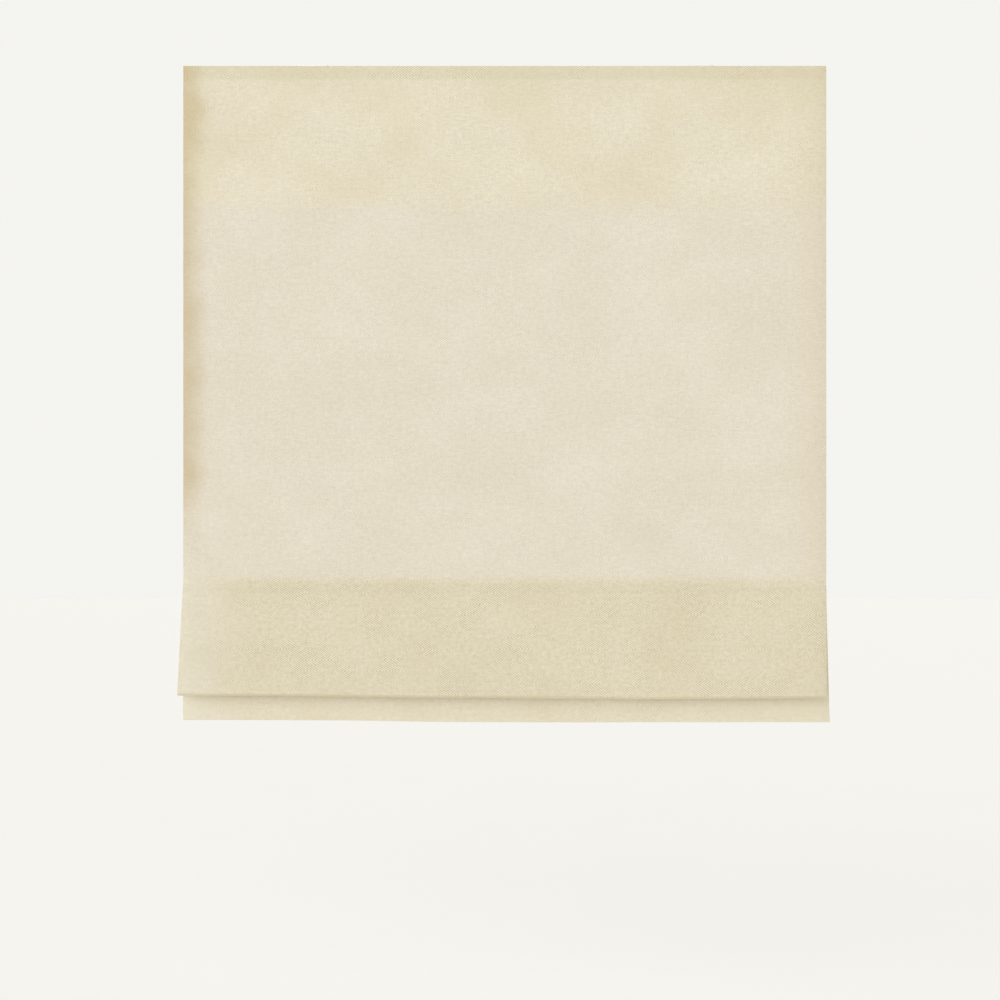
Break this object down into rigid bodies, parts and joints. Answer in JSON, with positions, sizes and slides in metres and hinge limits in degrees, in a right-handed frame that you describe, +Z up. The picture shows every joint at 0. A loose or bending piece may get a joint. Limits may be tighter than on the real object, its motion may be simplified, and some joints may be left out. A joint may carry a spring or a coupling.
{
  "type": "roman blind",
  "caption": "Cream herringbone roman blind, partly raised: flat lined cloth, one soft fold over its hem, rods, rings and lift cords behind, sprung lift shaft in a slim headrail.",
  "frame": {"origin": "middle of the line of bracket screw holes, on the brackets' top faces, which meet the soffit", "axes": "+X along the headrail to the viewer's right, -Y out of the cloth's front into the room, +Z up"},
  "size_m": [1, 0.0604, 1.019],
  "materials": {
    "face_cloth": "cream herringbone weave",
    "lining_cloth": "plain off-white sateen lining",
    "sewn_tape": "woven tape",
    "powder_coat": "white powder coat",
    "bare_aluminium": "mill finish",
    "plated_steel": "zinc plated",
    "spring_steel": "oiled",
    "white_plastic": "moulded, fine texture",
    "clear_plastic": "smooth",
    "fibreglass": "pultruded rod",
    "cord": "braided polyester"
  },
  "bodies": {
    "headrail": {"headrail": "powder_coat", "end_cap_left": "white_plastic", "end_cap_right": "white_plastic", "bracket_left": "plated_steel", "bracket_right": "plated_steel", "bracket_rivets": "plated_steel", "hook_tape": "sewn_tape", "loop_tape": "sewn_tape", "spool_cradle_left": "white_plastic", "spool_cradle_middle": "white_plastic", "spool_cradle_right": "white_plastic", "spring_housing": "white_plastic", "spring_anchor": "white_plastic", "balance_spring": "spring_steel", "brake_housing": "white_plastic", "brake_pads": "white_plastic", "face_head_panel": "face_cloth", "lining_head_panel": "lining_cloth", "lift_cord_left": "cord", "lift_cord_middle": "cord", "lift_cord_right": "cord"},
    "lever_left": {"bracket_lever_left": "plated_steel"},
    "lever_right": {"bracket_lever_right": "plated_steel"},
    "lift_shaft": {"lift_shaft": "bare_aluminium", "shaft_bush_left": "white_plastic", "shaft_bush_right": "white_plastic", "cord_spool_left": "white_plastic", "cord_spool_middle": "white_plastic", "cord_spool_right": "white_plastic", "cord_windings": "cord", "spring_driver": "white_plastic", "brake_rotor": "white_plastic"},
    "upper_rod": {"rod_1": "fibreglass", "rod_pocket_1": "sewn_tape", "rod_caps_1": "white_plastic", "rings_1": "clear_plastic", "face_pleat_panel": "face_cloth", "lining_pleat_panel": "lining_cloth"},
    "middle_rod": {"rod_2": "fibreglass", "rod_pocket_2": "sewn_tape", "rod_caps_2": "white_plastic", "rings_2": "clear_plastic", "face_fold": "face_cloth", "lining_fold": "lining_cloth"},
    "lower_rod": {"rod_3": "fibreglass", "rod_pocket_3": "sewn_tape", "rod_caps_3": "white_plastic", "rings_3": "clear_plastic", "cord_stops": "white_plastic", "face_flap": "face_cloth", "lining_flap": "lining_cloth", "bottom_bar": "bare_aluminium", "bar_plug_left": "white_plastic", "bar_plug_right": "white_plastic"}
  },
  "joints": [
    {"name": "head_gather", "type": "slide", "parent": "headrail", "child": "upper_rod", "axis": [0, 0, 1], "range_m": [0, 0.3999], "deforming": ["face_head_panel", "lining_head_panel", "lift_cord_left", "lift_cord_middle", "lift_cord_right"]},
    {"name": "pleat_gather", "type": "slide", "parent": "upper_rod", "child": "middle_rod", "axis": [0, 0, 1], "range_m": [0, 0.333], "deforming": ["face_pleat_panel", "lining_pleat_panel"]},
    {"name": "fold_open", "type": "slide", "parent": "middle_rod", "child": "lower_rod", "axis": [0, 0, 1], "range_m": [-0.333, 0]},
    {"name": "shaft_turn", "type": "hinge", "parent": "headrail", "child": "lift_shaft", "pos_m": [0, 0.0026, -0.0205], "axis": [1, 0, 0], "range_deg": [-4630, 2100]},
    {"name": "lever_left_turn", "type": "hinge", "parent": "headrail", "child": "lever_left", "pos_m": [-0.287, 0.002, -0.0047], "axis": [0, 0, 1], "range_deg": [0, 90]},
    {"name": "lever_right_turn", "type": "hinge", "parent": "headrail", "child": "lever_right", "pos_m": [0.313, 0.002, -0.0047], "axis": [0, 0, 1], "range_deg": [0, 90]}
  ],
  "couplings": [
    {"joint": "head_gather", "follows": "pleat_gather", "ratio": 1.2009},
    {"joint": "shaft_turn", "follows": "pleat_gather", "rad_per_m": -241.86}
  ]
}
